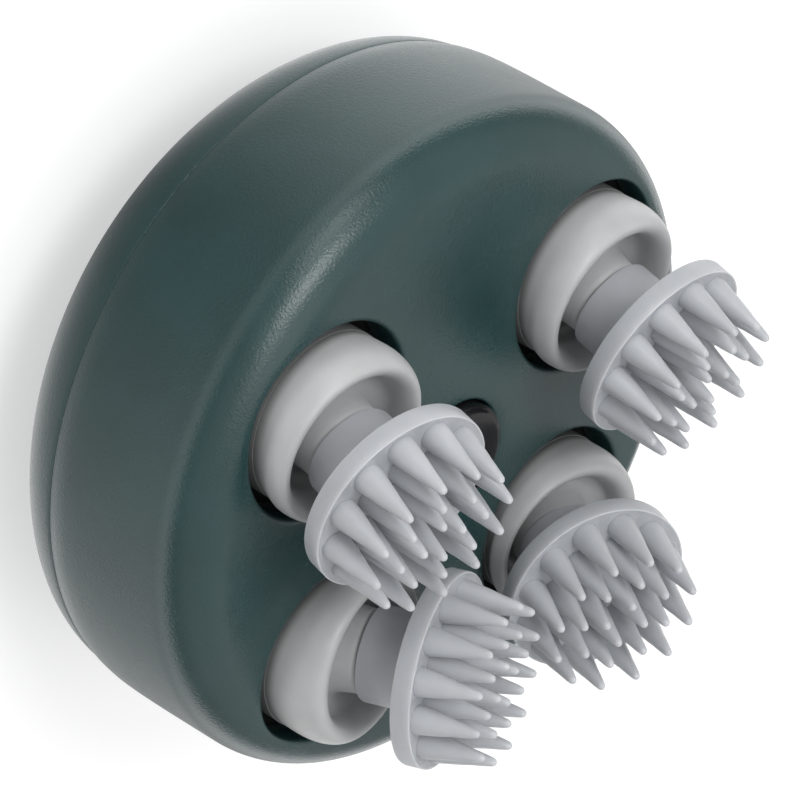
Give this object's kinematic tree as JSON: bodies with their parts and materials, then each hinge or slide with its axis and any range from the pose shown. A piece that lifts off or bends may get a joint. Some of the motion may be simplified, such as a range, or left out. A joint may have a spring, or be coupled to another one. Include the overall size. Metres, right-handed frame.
{
  "type": "electric scalp massager",
  "caption": "Round hand-held massager whose flat face carries tilted silicone heads with finger cones, nutated by a sealed gear train; power button in the domed back.",
  "frame": {"origin": "centre of the flat ring on the domed back that it rests on", "axes": "+Z out of the face with the heads, +Y towards the pair of heads that stand wider apart, +X to the right when looking along +Y"},
  "size_m": [0.11, 0.11, 0.0804],
  "materials": {
    "housing": "fine-grained dark grey-green",
    "silicone": "satin light grey silicone",
    "cap_black": "glossy black",
    "seal_rubber": "matte black",
    "light_ring": "frosted white",
    "gearbox_plastic": "plain off-white",
    "gear_plastic": "smooth off-white",
    "steel": "plain bright steel",
    "bearing": "plain bronze-coloured bush",
    "contact_gold": "gold-plated",
    "board": "green solder mask",
    "cell_wrap": "blue wrap"
  },
  "bodies": {
    "housing": {"back_cover": "housing", "main_shell": "housing", "seal_ring": "seal_rubber", "button_light_ring": "light_ring", "main_board": "board", "button_switch": "cap_black", "battery_pack": "cell_wrap", "drive_motor": "steel", "gearbox_base": "gearbox_plastic", "gearbox_cover": "gearbox_plastic", "drive_axle": "steel", "charging_cap": "cap_black", "charging_contact_left": "contact_gold", "charging_contact_right": "contact_gold", "crank_bearing_front_left": "bearing", "crank_bearing_front_right": "bearing", "crank_bearing_rear_right": "bearing", "crank_bearing_rear_left": "bearing", "boot_root_front_left": "silicone", "boot_root_front_right": "silicone", "boot_root_rear_right": "silicone", "boot_root_rear_left": "silicone", "gearbox_screw_1": "steel", "gearbox_screw_2": "steel", "gearbox_screw_3": "steel", "gearbox_screw_4": "steel", "board_screw_1": "steel", "board_screw_2": "steel", "board_screw_3": "steel"},
    "power_button": {"power_button": "housing"},
    "drive_gear": {"drive_gear": "gear_plastic"},
    "motor_pinion": {"motor_pinion": "steel"},
    "crank_front_left": {"crank_gear_front_left": "gear_plastic", "crank_pin_front_left": "steel", "boot_front_left": "silicone"},
    "head_front_left": {"head_hub_front_left": "gearbox_plastic", "massage_pad_front_left": "silicone"},
    "crank_front_right": {"crank_gear_front_right": "gear_plastic", "crank_pin_front_right": "steel", "boot_front_right": "silicone"},
    "head_front_right": {"head_hub_front_right": "gearbox_plastic", "massage_pad_front_right": "silicone"},
    "crank_rear_right": {"crank_gear_rear_right": "gear_plastic", "crank_pin_rear_right": "steel", "boot_rear_right": "silicone"},
    "head_rear_right": {"head_hub_rear_right": "gearbox_plastic", "massage_pad_rear_right": "silicone"},
    "crank_rear_left": {"crank_gear_rear_left": "gear_plastic", "crank_pin_rear_left": "steel", "boot_rear_left": "silicone"},
    "head_rear_left": {"head_hub_rear_left": "gearbox_plastic", "massage_pad_rear_left": "silicone"}
  },
  "joints": [
    {"name": "power_button_press", "type": "slide", "parent": "housing", "child": "power_button", "axis": [0, 0, 1], "range_m": [0, 0.0006], "stiffness_N_per_m": 400},
    {"name": "drive_gear_spin", "type": "hinge", "parent": "housing", "child": "drive_gear", "pos_m": [0, 0, 0.0336], "axis": [0, 0, 1], "continuous": true},
    {"name": "motor_pinion_spin", "type": "hinge", "parent": "housing", "child": "motor_pinion", "pos_m": [0, -0.03, 0.031], "axis": [0, 0, 1], "continuous": true},
    {"name": "crank_spin_front_left", "type": "hinge", "parent": "housing", "child": "crank_front_left", "pos_m": [-0.02765, 0.01936, 0.0476], "axis": [0, 0, 1], "continuous": true},
    {"name": "head_swing_front_left", "type": "hinge", "parent": "crank_front_left", "child": "head_front_left", "pos_m": [-0.02765, 0.01936, 0.0476], "axis": [-0.1128, -0.1827, 0.9767], "continuous": true},
    {"name": "crank_spin_front_right", "type": "hinge", "parent": "housing", "child": "crank_front_right", "pos_m": [0.02765, 0.01936, 0.0476], "axis": [0, 0, 1], "continuous": true},
    {"name": "head_swing_front_right", "type": "hinge", "parent": "crank_front_right", "child": "head_front_right", "pos_m": [0.02765, 0.01936, 0.0476], "axis": [-0.0236, -0.2493, 0.9681], "continuous": true},
    {"name": "crank_spin_rear_right", "type": "hinge", "parent": "housing", "child": "crank_rear_right", "pos_m": [0.02387, -0.02387, 0.0476], "axis": [0, 0, 1], "continuous": true},
    {"name": "head_swing_rear_right", "type": "hinge", "parent": "crank_rear_right", "child": "head_rear_right", "pos_m": [0.02387, -0.02387, 0.0476], "axis": [-0.3465, -0.0512, 0.9367], "continuous": true},
    {"name": "crank_spin_rear_left", "type": "hinge", "parent": "housing", "child": "crank_rear_left", "pos_m": [-0.02387, -0.02387, 0.0476], "axis": [0, 0, 1], "continuous": true},
    {"name": "head_swing_rear_left", "type": "hinge", "parent": "crank_rear_left", "child": "head_rear_left", "pos_m": [-0.02387, -0.02387, 0.0476], "axis": [0.3431, 0.0704, 0.9367], "continuous": true}
  ],
  "couplings": [
    {"joint": "motor_pinion_spin", "follows": "drive_gear_spin", "ratio": -4},
    {"joint": "crank_spin_front_left", "follows": "drive_gear_spin", "ratio": -1.25},
    {"joint": "head_swing_front_left", "follows": "drive_gear_spin", "ratio": 1.25},
    {"joint": "crank_spin_front_right", "follows": "drive_gear_spin", "ratio": -1.25},
    {"joint": "head_swing_front_right", "follows": "drive_gear_spin", "ratio": 1.25},
    {"joint": "crank_spin_rear_right", "follows": "drive_gear_spin", "ratio": -1.25},
    {"joint": "head_swing_rear_right", "follows": "drive_gear_spin", "ratio": 1.25},
    {"joint": "crank_spin_rear_left", "follows": "drive_gear_spin", "ratio": -1.25},
    {"joint": "head_swing_rear_left", "follows": "drive_gear_spin", "ratio": 1.25}
  ]
}
